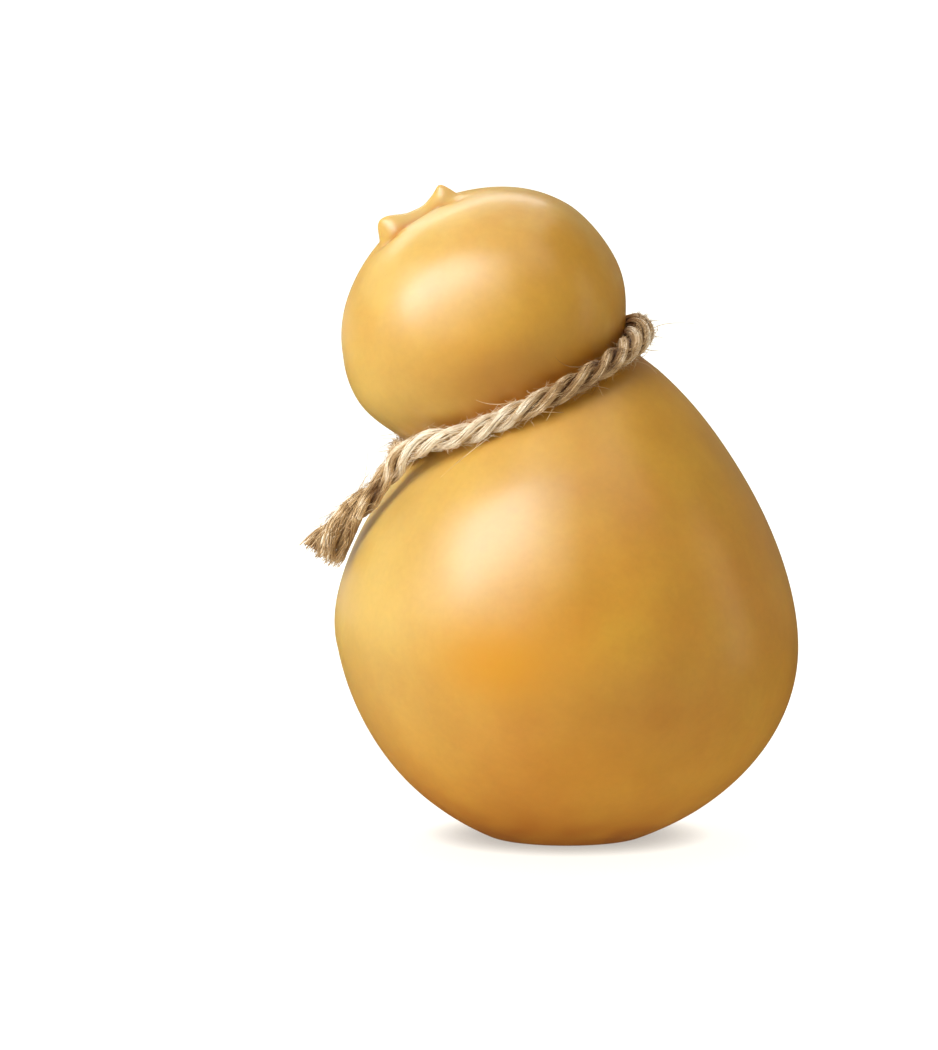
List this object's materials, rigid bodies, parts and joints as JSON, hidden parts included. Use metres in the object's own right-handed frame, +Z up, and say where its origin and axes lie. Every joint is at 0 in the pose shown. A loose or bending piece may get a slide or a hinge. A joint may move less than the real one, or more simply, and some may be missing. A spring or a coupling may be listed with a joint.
{
  "type": "smoked scamorza cheese",
  "caption": "Smoked stretched-curd cheese: a pear-shaped body, a tied neck and a round head that leans to one side, bound with a jute rope; it stands on a small flat spot.",
  "frame": {"origin": "centre of the flat spot that the cheese rests on", "axes": "+Z up, -Y the side that the picture shows, the head leans to -X"},
  "size_m": [0.0907, 0.0852, 0.1202],
  "materials": {
    "rind": "satin smoked rind, amber to ochre",
    "jute": "dry twisted jute"
  },
  "bodies": {
    "root": {"cheese": "rind", "rope": "jute"}
  },
  "joints": []
}
